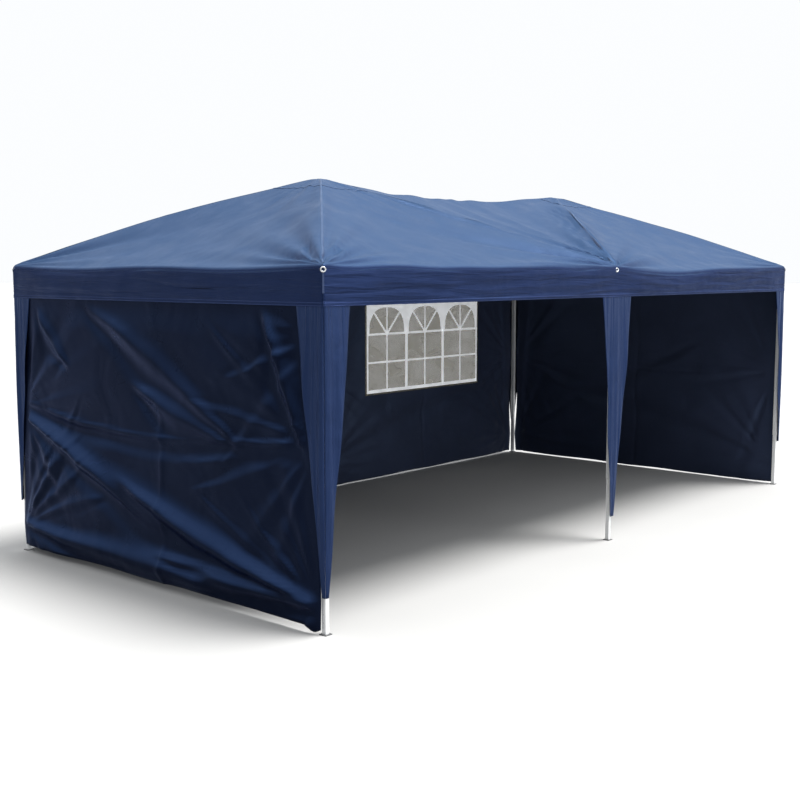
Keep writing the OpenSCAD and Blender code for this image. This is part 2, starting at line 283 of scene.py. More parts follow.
def film_paint(name):
    """Clear vinyl: see-through, slightly milky, with soft ripples."""
    p = Paint(name)
    ripple = p.noise(p.stretched("UV", (1, 1, 1)), 3.5, 2, 0.6)
    haze = p.noise(p.stretched("UV", (1, 2.2, 1)), 2.5, 1.5, 0.3)
    p.link(p.span(haze, 0.58, 0.66), p.shader.inputs["Alpha"])
    colour = p.blend(p.span(haze, 0, 1), (0.20, 0.19, 0.15), (0.28, 0.26, 0.19))
    return p.finish(colour, p.span(haze, 0.10, 0.16), p.bump(ripple, 0.002), Specular_IOR_Level=0.4)


def floor_paint():
    """A plain pale grey, with hardly any drift in its tone."""
    p = Paint("floor")
    tone = p.noise(p.stretched("Object", (1, 1, 1)), 0.3, 3)
    colour = p.blend(p.span(tone, 0, 1), (0.32, 0.32, 0.32), (0.35, 0.35, 0.35))
    return p.finish(colour, Roughness=0.85, Specular_IOR_Level=0.1)


# painted light: the third colour on the next line is painted on the cover where it faces up, standing in for
# light from above
NAVY, NAVY_LIT, PAINTED_TOP_LIGHT = (0.0078, 0.0150, 0.049), (0.0106, 0.0196, 0.062), (0.0215, 0.0455, 0.098)
STITCH_LINES = (EAVE - VALANCE + 0.020, EAVE - VALANCE + 0.004)
COVER = cloth_paint("cover_cloth", NAVY, NAVY_LIT, 0.42, 0.10, 0.8, PAINTED_TOP_LIGHT, (0.5, 7.5, 1), STITCH_LINES,
                    satin=0.25)
# painted light: the skirts' cloth is a lighter copy of the navy, standing in for light on the flaps' faces
LIT_SKIRT_CLOTH = cloth_paint("lit_skirt_cloth", (0.0112, 0.0208, 0.061), (0.0152, 0.0278, 0.078), 0.36, 0.16, 0.8, None,
                   (5, 0.35, 1), satin=0.35)
# painted shade: the inner face of the cover and the skirts is a darker copy of the navy, standing in for the
# shade under the cover
SHADED_LINING = cloth_paint("shaded_cover_inside", (0.006, 0.008, 0.018), (0.008, 0.011, 0.024), 0.6, 0.15)
# painted shade: the walls' outer cloth is a much darker copy of the navy, standing in for the shade on the
# walls; its third colour is a painted highlight on the up-facing tops of the folds
SHADED_WALL_CLOTH = cloth_paint("shaded_wall_cloth", (0.0026, 0.0042, 0.0125), (0.0040, 0.0066, 0.019), 0.32, 0.09, 0.6,
                   (0.015, 0.030, 0.080), satin=0.4, tilt=(0.02, 0.46))
WALL_IN = cloth_paint("wall_inside", (0.0175, 0.0225, 0.042), (0.0230, 0.0290, 0.055), 0.45, 0.34, 0.9)
# painted light: the third colour here is painted on the seams where they face up, standing in for light from
# above
TAPE = cloth_paint("seam_tape", (0.010, 0.020, 0.060), (0.013, 0.026, 0.072), 0.5, 0.2, 0.3,
                   (0.024, 0.050, 0.108))
STRAP = cloth_paint("webbing", (0.045, 0.065, 0.13), (0.060, 0.082, 0.16), 0.6, 0.3, 0.1)
FRAME = metal_paint("enamelled_steel", (0.70, 0.71, 0.71), (0.60, 0.61, 0.62), 0.36, 0.25)
BRACKET_FOOT, FOOT_PLATE = 1.9055, 0.0055  # where the plastic bracket starts, and the top of the foot
UPRIGHT = metal_paint("leg_steel", (0.72, 0.73, 0.73), (0.62, 0.63, 0.64), 0.34, 0.25, BRACKET_FOOT)
FOOT = metal_paint("lower_leg_steel", (0.74, 0.75, 0.75), (0.64, 0.65, 0.66), 0.34, 0.25,
                   dark_below=FOOT_PLATE)
RING = metal_paint("eyelet_metal", (0.80, 0.81, 0.82), (0.70, 0.71, 0.72), 0.22, 0.9)
FITTING = plastic_paint("black_plastic", (0.012, 0.012, 0.014), 0.5)
PRINT = plastic_paint("window_print", (0.72, 0.74, 0.76), 0.45)
# painted light: the print glows faintly though it is no lamp, standing in for daylight through the window
painted_glow = PRINT.node_tree.nodes["Principled BSDF"].inputs
painted_glow["Emission Color"].default_value = (0.95, 0.97, 1, 1)
painted_glow["Emission Strength"].default_value = 0.26
FILM = film_paint("clear_film")
floor.data.materials.append(floor_paint())

# ---------- surroundings
BRIGHT_WAY = (0.62, 0.10, 0.62)  # the surroundings grow lighter this way
SIDE_RAMP = {"From Min": -0.65, "From Max": 0.45, "To Min": 0.16, "To Max": 1.0}
TOP_RAMP = {"From Min": 0.35, "From Max": 0.9, "To Min": 0.0, "To Max": 1.1}
SKY_TINT = (0.97, 0.985, 1.0, 1)

world = bpy.data.worlds.new("studio")
bpy.context.scene.world = world
world.use_nodes = True
sky = world.node_tree.nodes["Background"]
sky.inputs["Color"].default_value = SKY_TINT


def sky_node(kind, *sources, **sockets):
    """A node of the surroundings, with outputs joined to its first inputs and other sockets set."""
    made = world.node_tree.nodes.new("ShaderNode" + kind)
    for k, source in enumerate(sources):
        world.node_tree.links.new(source, made.inputs[k])
    for socket, value in sockets.items():
        made.inputs[socket].default_value = value
    return made


toward = sky_node("TexCoord").outputs["Generated"]
side = sky_node("VectorMath", toward)
side.operation = "DOT_PRODUCT"
side.inputs[1].default_value = BRIGHT_WAY
sideways = sky_node("MapRange", side.outputs["Value"], **SIDE_RAMP)
rise = sky_node("SeparateXYZ", toward).outputs[2]
overhead = sky_node("MapRange", rise, **TOP_RAMP)
light = sky_node("Math", sideways.outputs[0], overhead.outputs[0])
# the backdrop itself is plain and pale, whatever light comes from its side
seen = sky_node("LightPath").outputs["Is Camera Ray"]
backdrop = sky_node("Mix", B=1.0)
world.node_tree.links.new(seen, backdrop.inputs["Factor"])
world.node_tree.links.new(light.outputs[0], backdrop.inputs["A"])
world.node_tree.links.new(backdrop.outputs[0], sky.inputs["Strength"])


# ---------- meshes
def build(name, points, faces, uv, materials, smooth=True):
    """A mesh object from numpy points, a list of faces, and one UV pair for each point."""
    mesh = bpy.data.meshes.new(name)
    mesh.from_pydata(np.asarray(points, float).tolist(), [], [list(map(int, f)) for f in faces])
    for m in materials:
        mesh.materials.append(m)
    layer = mesh.uv_layers.new(name="UVMap")
    corner = np.zeros(len(mesh.loops), np.int32)
    mesh.loops.foreach_get("vertex_index", corner)
    layer.data.foreach_set("uv", np.asarray(uv, np.float32)[corner].ravel())
    if smooth:
        mesh.polygons.foreach_set("use_smooth", [True] * len(mesh.polygons))
    made = bpy.data.objects.new(name, mesh)
    bpy.context.scene.collection.objects.link(made)
    return made


def grid_faces(rows, columns, keep=None):
    """Quads of a rows by columns grid of points; keep(r, c) may leave some out."""
    return [
        (r * columns + c, r * columns + c + 1, (r + 1) * columns + c + 1, (r + 1) * columns + c)
        for r in range(rows - 1)
        for c in range(columns - 1)
        if keep is None or keep(r, c)
    ]


def thicken(made, depth=CLOTH, inner=1):
    """Cloth thickness behind the outer face, with the back face in the material that follows the outer one.
    """
    solid = made.modifiers.new("cloth", "SOLIDIFY")
    solid.thickness, solid.offset = depth, -1.0
    solid.material_offset = inner
    solid.use_even_offset = False
    return made


def smoothstep(a, b, x):
    """0 at a and 1 at b, with a smooth curve between."""
    t = np.clip((x - a) / (b - a), 0, 1)
    return t * t * (3 - 2 * t)


def bell(x, width):
    """1 at nought, falling away over width."""
    return np.exp(-((x / width) ** 2))


def wavy(x, turns, seed):
    """A smooth wandering curve, about -1 to 1, with the given number of waves for one unit of x."""
    local = np.random.default_rng(seed)
    total = np.zeros_like(x, dtype=float)
    for k in range(6):
        rate = turns * (0.55 + 0.3 * k)
        total += np.cos(2 * math.pi * (rate * x + local.random())) * (0.9 - 0.1 * k)
    return total / 2.6


def fan(x, y, at, reach, count, height, seed):
    """Creases that spread from a point: ridges by direction, strongest at reach."""
    dx, dy = x - at[0], y - at[1]
    r = np.hypot(dx, dy)
    a = np.arctan2(dy, dx) / (2 * math.pi)
    local = np.random.default_rng(seed)
    total = np.zeros_like(r)
    for k in range(5):
        n = round(count * (0.5 + 0.32 * k))
        total += np.cos(2 * math.pi * (n * a + local.random()))
    ridges = np.sign(total) * np.abs(total / 2.4) ** 1.3
    return height * ridges * (r / reach) * np.exp(1 - r / reach)


def fold(x, y, start, end, width, height, bow=0.0):
    """One long soft fold between two points of a sheet; bow bends it sideways."""
    ax, ay = end[0] - start[0], end[1] - start[1]
    length = math.hypot(ax, ay)
    along = ((x - start[0]) * ax + (y - start[1]) * ay) / length**2
    across = ((x - start[0]) * -ay + (y - start[1]) * ax) / length
    wander = 0.16 * width * wavy(along * length, 1.6, round(97 * length))
    across = across - bow * 4 * along * (1 - along) + wander
    spread = width * (0.45 + 1.1 * np.clip(1 - np.abs(2 * along - 1), 0, 1))
    fade = smoothstep(-0.12, 0.12, along) * (1 - smoothstep(0.88, 1.12, along))
    ridge = bell(across, spread) - 0.55 * bell(across - 1.9 * spread, 1.1 * spread)
    return height * ridge * fade


# ---------- the cover's shape
RIDGE_DIP, NUB = 0.093, 0.011
SAG, MIDDLE_SAG = 0.034, 0.10  # below the flat plane of a side
ARM_RISE = {-1: 0.044, 1: 0.028}  # how far the arms lift the outer hips, at the left and right end
ARM_REACH = 0.30
FRONT_DIP, SMALL_DIP, LEFT_DIP, END_DIP = 0.046, 0.010, 0.007, 0.017  # of the eave, between the legs
PEAK_ROUNDING, CREASE = 0.010, 0.0050


def ridge_height(x):
    """Height of the ridge between the peaks: a slack curve with a small lump at its middle."""
    t = np.clip((x + LEG_Y) / (2 * LEG_Y), 0, 1)
    dip = (1 - np.abs(2 * t - 1) ** 2.2) * (1 - 0.25 * smoothstep(0.5, 1, t))
    return PEAK - RIDGE_DIP * dip + NUB * bell(t - 0.5, 0.02)


def soft_min(a, b, radius):
    """The lower of two surfaces, with their edge rounded."""
    d = a - b
    return 0.5 * (a + b - np.sqrt(d * d + radius * radius)) + 0.5 * radius * bell(d, 4 * radius)


def eave_dip(x, y):
    """How far the cloth hangs below the eave line between the legs, by place round the eave."""
    def hump(t, centre, width):
        return bell(t - centre, width) * np.clip(t * (1 - t) * 12, 0, 1)

    right = np.clip(x / LEG_X, 0, 1)
    left = np.clip(-x / LEG_X, 0, 1)
    end = np.clip((y + LEG_Y) / (2 * LEG_Y), 0, 1)
    front = FRONT_DIP * hump(right, 0.3, 0.24) + SMALL_DIP * hump(right, 0.75, 0.2)
    front += LEFT_DIP * (1 + wavy(left, 3.0, 11)) * np.clip(left * (1 - left) * 12, 0, 1)
    ends = END_DIP * (hump(end, 0.25, 0.16) + hump(end, 0.75, 0.16)) + 0.004
    long_side = HALF_Y - np.abs(y) < HALF_X - np.abs(x)
    return np.where(long_side, np.where(y < 0, front, 0.8 * front), ends)


def roof(x, y):
    """Height of the cover over a point of the plan."""
    ax, ay = np.abs(x), np.abs(y)
    side_slope = EAVE + (HALF_Y - ay) * SLOPE
    end_slope = EAVE + (HALF_X - ax) * SLOPE
    z = soft_min(side_slope, end_slope, 0.010)
    v = np.clip(ay / HALF_Y, 0, 1)
    across = np.clip(ax / np.maximum(LEG_Y * (1 - v), 1e-6), 0, 1.0)
    inside = ax < LEG_Y * (1 - v)
    hollow = EAVE + (1 - v) * (ridge_height(np.sign(x) * across * LEG_Y) - EAVE)
    z = np.where(inside, hollow, z)
    # the cloth hangs a little between its hips
    bp = np.clip(1 - v, 0, 1)
    px = (ax - LEG_Y) / HALF_Y
    side_sag = bp * np.clip((v + px) / 2, 0, 1) * np.clip((v - px) / 2, 0, 1)
    e = np.clip((ax - LEG_Y) / HALF_Y, 0, 1)
    py = y / HALF_Y
    end_sag = (1 - e) * np.clip((e + py) / 2, 0, 1) * np.clip((e - py) / 2, 0, 1)
    mid_sag = np.where(inside, v * (1 - v) * (1 - across) * (1 + across) * (1 - v), 0)
    z = z - 27 * SAG * (side_sag + end_sag) - MIDDLE_SAG * mid_sag
    # the folding arms hold the four outer hips up at their elbows
    for sx in (-1, 1):
        for sy in (-1, 1):
            dx, dy = HALF_X - sx * x, HALF_Y - sy * y
            along = (dx + dy) / (2 * HALF_Y)
            off = np.abs(dx - dy) / math.sqrt(2)
            tent = np.clip(1 - np.abs(2 * along - 1), 0, 1)
            rise = ARM_RISE[sx] * (tent - 0.08 * bell(tent - 1, 0.1))
            low = np.minimum(dx, dy)
            z = z + rise * np.exp(-off / ARM_REACH) * smoothstep(0, 0.3, low)
    # peaks rounded over the hubs
    for sx in (-1, 1):
        r = np.hypot(x - sx * LEG_Y, y)
        z = z - PEAK_ROUNDING * bell(r, 0.045)
    return z


def creases(x, y):
    """Small folds of the roof: fans at the legs and peaks, slack lines beside the middle hips, and slow waves
    all over. They are strongest at the two legs that the camera sees best."""
    total = np.zeros_like(x)
    edge = np.minimum(HALF_X - np.abs(x), HALF_Y - np.abs(y))
    for k, (gx, gy) in enumerate(LEGS.values()):
        at = (gx * HALF_X, gy * HALF_Y)
        strong = 1.5 if (gx, gy) == (0, -1) else 1.15 if (gx, gy) == (-1, -1) else 0.8
        total += fan(x, y, at, 0.20, 24, 0.0090 * strong, 30 + k)
        total += fan(x, y, at, 0.50, 15, 0.0100 * strong, 50 + k)
    for k, sx in enumerate((-1, 1)):
        total += fan(x, y, (sx * LEG_Y, 0), 0.24, 13, 0.0042, 70 + k)
    for sx in (-1, 1):
        for sy in (-1, 1):
            start, end = (sx * LEG_Y, 0), (0, sy * HALF_Y)
            length = math.hypot(LEG_Y, HALF_Y)
            ux, uy = (end[0] - start[0]) / length, (end[1] - start[1]) / length
            along = ((x - start[0]) * ux + (y - start[1]) * uy) / length
            across = ((x - start[0]) * -uy + (y - start[1]) * ux) * sx * sy
            body = smoothstep(0.04, 0.3, along) * (1 - smoothstep(0.86, 1.02, along))
            body = body * smoothstep(0.10, 0.34, y * sy)
            band = bell(across - 0.09, 0.13) * body
            total += 0.0070 * band * np.cos(2 * math.pi * (across / 0.058 + 0.4 * wavy(along, 2, 5)))
            total += (0.020 if sy < 0 else 0.006) * bell(across, 0.030) * body
    for start, end in (((-2.93, -1.38), (-2.72, -1.10)), ((-2.90, -1.42), (-2.62, -1.30)),
                       ((-0.03, -1.40), (-0.16, -1.12)), ((0.04, -1.40), (0.22, -1.16))):
        total -= fold(x, y, start, end, 0.013, 0.016)
    slack = CREASE * smoothstep(0.0, 0.35, np.abs(y)) * wavy(x * 0.5 + y * 0.23, 1.1, 91)
    total += slack * wavy(y * 0.6 - x * 0.1, 1.2, 92)
    return total * smoothstep(0.0, 0.05, edge)


def steps(fine_start, fine_end, coarse, growth=1.16):
    """Places from 0 to 1 along a half span: small steps at each end and larger between."""
    def run(size, until):
        found = []
        while size < coarse and sum(found) < until:
            found.append(size)
            size *= growth
        return found

    first, last = run(fine_start, HALF_Y / 2), run(fine_end, HALF_Y / 2)
    rest = HALF_Y - sum(first) - sum(last)
    count = max(1, round(rest / coarse))
    sizes = np.array(first + [rest / count] * count + last[::-1])
    return np.concatenate([[0], np.cumsum(sizes)]) / HALF_Y


half = steps(0.0016, 0.008, 0.031)
y_line = np.concatenate([-HALF_Y + HALF_Y * half, (HALF_Y * (1 - half))[::-1][1:]])
x_left = -HALF_X + (HALF_X - LEG_Y) * half
x_half = np.concatenate([x_left, (-LEG_Y + LEG_Y * (1 - half[::-1]))[1:]])
x_line = np.concatenate([x_half, -x_half[::-1][1:]])
NX, NY = len(x_line), len(y_line)
FOLD_R, CORNER_R = 0.020, 0.016


def fold_drop(inset):
    """How far the roof has turned down at a distance in from the eave's face."""
    h = np.clip(inset, 0, FOLD_R)
    return FOLD_R - np.sqrt(np.maximum(FOLD_R**2 - (FOLD_R - h) ** 2, 0))


def plan_corner(x, y):
    """Rounds the plan's four corners."""
    cx, cy = HALF_X - CORNER_R, HALF_Y - CORNER_R
    a, b = np.maximum(np.abs(x) - cx, 0), np.maximum(np.abs(y) - cy, 0)
    both = (a > 0) & (b > 0)
    share = np.where(both, np.maximum(a, b) / np.maximum(np.hypot(a, b), 1e-9), 1)
    return (np.where(both, np.sign(x) * (cx + a * share), x),
            np.where(both, np.sign(y) * (cy + b * share), y))


def cover_surface(x, y):
    """The roof's points, its turned-down eave and creases included."""
    edge = np.minimum(HALF_X - np.abs(x), HALF_Y - np.abs(y))
    z = roof(x, y) + creases(x, y)
    z = z - eave_dip(x, y) * np.exp(-np.maximum(edge, 0) / 0.16) - fold_drop(edge)
    px, py = plan_corner(x, y)
    return np.stack([px, py, z], -1)


def lengthwise(x, y):
    """Distance along a face of the cover, for the valance's folds and UVs."""
    on_long = HALF_Y - np.abs(y) <= HALF_X - np.abs(x)
    return np.where(on_long, x * np.sign(y + 1e-9) * -1, y * np.sign(x + 1e-9) + 20)


PUCKER, FINE_PUCKER, SWELL, HEM = 0.0055, 0.003, 0.008, 0.0012


def valance_out(s, drop, x, y):
    """How far the valance stands out: long level puckers, and a thicker hem."""
    side_seed = 1 if abs(y) >= HALF_Y - 1e-6 else 2
    leg_gap = min(math.hypot(x - gx * LEG_X, y - gy * LEG_Y) for gx, gy in LEGS.values())
    free = min(1, max(0, (leg_gap - 0.04) / 0.3))
    level = drop + 0.030 * math.sin(2.1 * s + side_seed) + 0.012 * math.sin(5.3 * s + 0.7)
    puckers = PUCKER * math.sin(2 * math.pi * level / 0.085)
    puckers += FINE_PUCKER * math.sin(2 * math.pi * level / 0.041)
    swell = SWELL * math.sin(math.pi * min(1, drop / VALANCE)) * math.sin(1.7 * s + 1)
    hem = HEM if drop > VALANCE - 0.024 else 0
    waist = math.sin(math.pi * min(1, drop / VALANCE)) ** 0.6
    return 0.0022 + (0.009 + puckers + swell) * free * waist + hem


ring = (
    [(i, 0) for i in range(NX)] + [(NX - 1, j) for j in range(1, NY)]
    + [(i, NY - 1) for i in range(NX - 2, -1, -1)] + [(0, j) for j in range(NY - 2, 0, -1)]
)
grid_x, grid_y = np.meshgrid(x_line, y_line, indexing="ij")
top = cover_surface(grid_x, grid_y)
points = top.reshape(-1, 3).tolist()
uvs = np.stack([grid_x, grid_y], -1).reshape(-1, 2).tolist()
cover_faces = []
for i in range(NX - 1):
    for j in range(NY - 1):
        a, b, c, d = i * NY + j, (i + 1) * NY + j, (i + 1) * NY + j + 1, i * NY + j + 1
        middle = (x_line[i] + x_line[i + 1]) / 2
        quarter = (middle > -LEG_Y) + (middle > 0) + (middle > LEG_Y)
        rising = (quarter + (y_line[j] + y_line[j + 1] > 0)) % 2 == 0
        cover_faces += [(a, b, c), (a, c, d)] if rising else [(a, b, d), (b, c, d)]
# rows of points down the valance, closer at the fold and at the hem
ROWS = (0.004, 0.012, 0.028, 0.048, 0.070, 0.094, 0.118, 0.142, 0.166, 0.188, 0.196, 0.198, 0.218, VALANCE)
bottom_z = EAVE - VALANCE
previous = [i * NY + j for i, j in ring]
for drop in ROWS:
    fresh = []
    for i, j in ring:
        x, y = grid_x[i, j], grid_y[i, j]
        start_z = top[i, j, 2]
        z = start_z + (bottom_z - start_z) * drop / VALANCE
        s = float(lengthwise(np.array(x), np.array(y)))
        out = valance_out(s, drop, x, y)
        nx = math.copysign(1, x) if abs(x) >= HALF_X - 1e-6 else 0
        ny = math.copysign(1, y) if abs(y) >= HALF_Y - 1e-6 else 0
        px, py = plan_corner(np.array(x), np.array(y))
        fresh.append(len(points))
        points.append((float(px) + nx * out, float(py) + ny * out, z))
        uvs.append((s, z))
    count = len(ring)
    for k in range(count):
        n = (k + 1) % count
        cover_faces.append((previous[n], previous[k], fresh[k], fresh[n]))
    previous = fresh
canopy = thicken(build("cover", points, cover_faces, uvs, [COVER, SHADED_LINING]))
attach(canopy, "leg_back_middle")
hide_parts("canopy")


# ---------- how the cover gathers as the frame folds
HUB_HOLD, HUB_FADE = 0.06, 0.13  # the cloth goes with the hub this near, and less and less past it
DROOP, HOLLOW = 0.19, 0.09  # how much of the sliders' drop the slopes take


def gather(made):
    """Hooks the cloth to the legs, sliders and hubs, which only shift as the frame folds, so it gathers."""
    co = np.zeros(len(made.data.vertices) * 3)
    made.data.vertices.foreach_get("co", co)
    x, y, z = co.reshape(-1, 3).T
    hub = {}
    for s, g in (("left", -1), ("right", 1)):
        hub[s] = np.exp(-np.maximum(np.hypot(x - g * LEG_Y, y) - HUB_HOLD, 0) / HUB_FADE)
    free = 1 - hub["left"] - hub["right"]
    rise = np.clip((z - EAVE) / (PEAK - EAVE), 0, 1)
    v = np.clip(np.abs(y) / HALF_Y, 0, 1)
    hip = np.abs(np.abs(np.abs(x) - LEG_Y) / HALF_Y - v)
    between = smoothstep(0, 0.5, hip)
    droop = DROOP * rise + HOLLOW * 4 * rise * (1 - rise) * between
    for name, (gx, gy) in LEGS.items():
        wx = np.clip(1 - np.abs(np.clip(x, -LEG_X, LEG_X) - gx * LEG_X) / LEG_X, 0, 1)
        wy = np.clip(0.5 + gy * np.clip(y, -LEG_Y, LEG_Y) / (2 * LEG_Y), 0, 1)
        share = wx * wy * free
        hook(made, "leg_" + name, share * (1 - droop))
        hook(made, "slider_" + name, share * droop)
    for s in hub:
        hook(made, "hub_" + s, hub[s])


def hook(made, body, weight):
    """Lets part of each point's shift come from one body."""
    if body == "leg_back_middle" or weight.max() < 1e-4:
        return
    group = made.vertex_groups.new(name=body)
    for k in np.nonzero(weight > 1e-4)[0]:
        group.add([int(k)], float(weight[k]), "REPLACE")
    pull = made.modifiers.new(body, "HOOK")
    pull.object = frame["bodies"][body]
    pull.vertex_group = group.name
    pull.falloff_type = "NONE"
    pull.strength = 1.0


gather(canopy)


# ---------- seams on the cover
SEAM_INSET = 0.03  # from the eave to a seam's lower end
PATCH, PATCH_LIFT = 0.23, 0.0030


def tape(name, line, width, lift=0.0012):
    """A flat seam along a line of plan points on the roof, a little above the cloth."""
    line = np.array(line, float)
    step = np.diff(line, axis=0)
    length = np.concatenate([[0], np.cumsum(np.hypot(step[:, 0], step[:, 1]))])
    count = max(2, int(length[-1] / 0.02))
    s = np.linspace(0, length[-1], count)
    cx, cy = np.interp(s, length, line[:, 0]), np.interp(s, length, line[:, 1])
    tx, ty = np.gradient(cx), np.gradient(cy)
    norm = np.hypot(tx, ty)
    made_points, made_uv = [], []
    across = (-0.5, -0.42, 0.0, 0.42, 0.5)
    for k, a in enumerate(across):
        px, py = cx - ty / norm * a * width, cy + tx / norm * a * width
        surface = cover_surface(px, py)
        surface[:, 2] += lift if 0 < k < len(across) - 1 else 0.3 * lift
        made_points += surface.tolist()
        made_uv += [(float(q), a * width) for q in s]
    faces = [(b, a, d, c) for a, b, c, d in grid_faces(len(across), count)]
    made = build(name, made_points, faces, made_uv, [TAPE])
    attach(made, "leg_back_middle")
    gather(made)


for sx, a in ((-1, "left"), (1, "right")):
    peak = (sx * LEG_Y, 0)
    for sy, b in ((-1, "front"), (1, "back")):
        low_y = sy * (HALF_Y - SEAM_INSET)
        tape(f"hip_seam_{b}_{a}", [(sx * (HALF_X - SEAM_INSET), low_y), peak], 0.016)
        tape(f"middle_hip_seam_{b}_{a}", [(0, low_y), peak], 0.014)
tape("ridge_seam", [(-LEG_Y, 0), (LEG_Y, 0)], 0.016)
for sx, a in ((-1, "left"), (1, "right")):
    turns = [(1, -1), (1, 1), (-1, 1), (-1, -1), (1, -1)]
    around = [(sx * LEG_Y + PATCH * u, PATCH * v) for u, v in turns]
    tape(f"peak_patch_seam_{a}", around, 0.010, PATCH_LIFT)

# ---------- corner and middle skirts
SKIRT_TOP = EAVE - VALANCE + 0.02
HALF_TIP_CORNER, HALF_TIP_MIDDLE = 0.026, 0.023
BELLY, WAVE, RIPPLE = 0.0105, 0.007, 0.0035  # how far a skirt stands out


def skirt(name, leg, left, right, tip_at, tip_z):
    """A tapering flap that hangs from the valance over a leg. left and right are its reach along the cover's
    faces at the top, counted from the leg, and tip_at where its point is. At a corner leg, reach below zero
    goes along the long face and above zero along the end face."""
    gx, gy = LEGS[leg]
    rows, columns = 64, 15 if gx else 25
    made_points, made_uv = [], []
    half_tip = HALF_TIP_CORNER if gx else HALF_TIP_MIDDLE
    for r in range(rows):
        v = r / (rows - 1)
        z = SKIRT_TOP + (tip_z - SKIRT_TOP) * v
        narrow = (1 - v) ** 1.08
        lo = tip_at - half_tip + (left - tip_at + half_tip) * narrow if left else 0
        hi = tip_at + half_tip + (right - tip_at - half_tip) * narrow if right else 0
        for c in range(columns):
            s = lo + (hi - lo) * c / (columns - 1)
            belly = math.sin(math.pi * v)
            wave = WAVE * belly * math.sin(2 * math.pi * (2.6 * s / 0.4 + 0.15 * v) + 1)
            wave += RIPPLE * belly * math.sin(2 * math.pi * (6.2 * s / 0.4 - 0.1 * v))
            stand = (BELLY * belly + wave) * (min(1, abs(s) / 0.03) if gx else 1)
            stand += 0.0008 * (min(s - lo, hi - s) < 0.008)
            ease = 0.0035 * max(0, 1 - abs(s) / 0.012) if gx else 0
            if s < 0 or not gx or not right:
                x = gx * (HALF_X - ease) + s * (gx if gx else 1)
                made_points.append((x, gy * (HALF_Y + stand - ease), z))
            else:
                made_points.append((gx * (HALF_X + stand - ease), gy * (HALF_Y - ease - s), z))
            made_uv.append((s, z))
    faces = grid_faces(rows, columns)
    turn = -gx * gy if gx else -gy
    if turn > 0:
        faces = [f[::-1] for f in faces]
    made = thicken(build(name, made_points, faces, made_uv, [LIT_SKIRT_CLOTH, SHADED_LINING]))
    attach(made, "leg_" + leg)
    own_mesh(made)


for leg, tip_z, reach in (("front_left", 0.21, 0.205), ("front_right", 0.40, 0.19),
                          ("back_left", 0.36, 0.205), ("back_right", 0.36, 0.205)):
    skirt(f"skirt_{leg}_long_face", leg, -reach, 0, 0.0, tip_z)
    skirt(f"skirt_{leg}_end_face", leg, 0, reach, 0.0, tip_z)
skirt("skirt_front_middle", "front_middle", -0.186, 0.211, -0.002, 0.18)
skirt("skirt_back_middle", "back_middle", -0.2, 0.2, 0.0, 0.2)

# ---------- walls
WALL_TOP, WALL_LOW, WALL_HALF = 1.94, 0.05, LEG_Y
TIES = ((1.44, 1.03), (1.44, 0.21), (-1.44, 0.17), (-1.44, 1.05), (-1.44, 1.60))  # on the left wall
SLACK_LINE, CENTRE_CREASE = 1.07, -0.11


def side_folds(s, z):
    """The drape of the left wall: s runs from the front leg at -1.475 to the back leg at 1.475. Each run is a
    long fold: its start, end, width, height and bow."""
    total = 0.020 * smoothstep(1.9, 1.2, z) * wavy(s * 0.35 + 0.1 * z, 1.2, 5) * 0.5
    runs = (
        ((1.42, 1.02), (-1.42, 0.16), 0.060, 0.021, 0.08),
        ((1.44, 0.22), (-1.44, 0.17), 0.055, 0.022, 0.05),
        ((1.20, 1.70), (0.86, 1.36), 0.035, 0.011, 0.02),
        ((0.66, 1.76), (-0.75, 1.02), 0.050, 0.012, -0.03),
        ((-1.02, 1.78), (-1.40, 0.90), 0.036, 0.024, -0.02),
        ((0.10, 1.25), (-0.70, 1.00), 0.050, 0.014, 0.02),
        ((1.42, 0.98), (0.10, 0.42), 0.040, 0.012, -0.05),
        ((0.20, 0.62), (-1.36, 0.20), 0.045, 0.015, 0.03),
        ((-0.12, 0.22), (-1.40, 0.12), 0.030, 0.012, -0.02),
    )
    for start, end, width, height, bow in runs:
        total += 2.0 * fold(s, z, start, end, width, height, bow)
    local = np.random.default_rng(4)
    for _ in range(26):
        tie = TIES[local.integers(5)]
        aim = math.radians(local.uniform(-62, 38)) if tie[1] > 0.5 else math.radians(local.uniform(4, 62))
        reach = local.uniform(0.35, 1.15)
        near = local.uniform(0.03, 0.22)
        dx, dz = -math.copysign(math.cos(aim), tie[0]), math.sin(aim)
        start = (tie[0] + dx * near, tie[1] + dz * near)
        end = (tie[0] + dx * reach, tie[1] + dz * reach)
        total += fold(s, z, start, end, local.uniform(0.014, 0.030), local.uniform(0.004, 0.009),
                      local.uniform(-0.03, 0.03))
    sag = SLACK_LINE - 0.13 * (1 - (np.abs(s) / WALL_HALF) ** 1.5) + 0.012 * wavy(s, 0.8, 3)
    crease = z - sag
    total += 0.016 * bell(crease, 0.012) - 0.022 * bell(crease + 0.06, 0.045)
    centre = s - CENTRE_CREASE + 0.012 * wavy(z, 4, 8)
    total += 0.010 * (np.exp(-np.abs(centre) / 0.02)) * (1 - smoothstep(1.05, 1.2, z))
    for k, (at, reach) in enumerate(((1.45, 1.02), (1.45, 0.22), (-1.45, 0.17), (-1.45, 1.06))):
        total += fan(s, z, (at, reach), 0.34, 14, 0.0060, 110 + k)
    return total


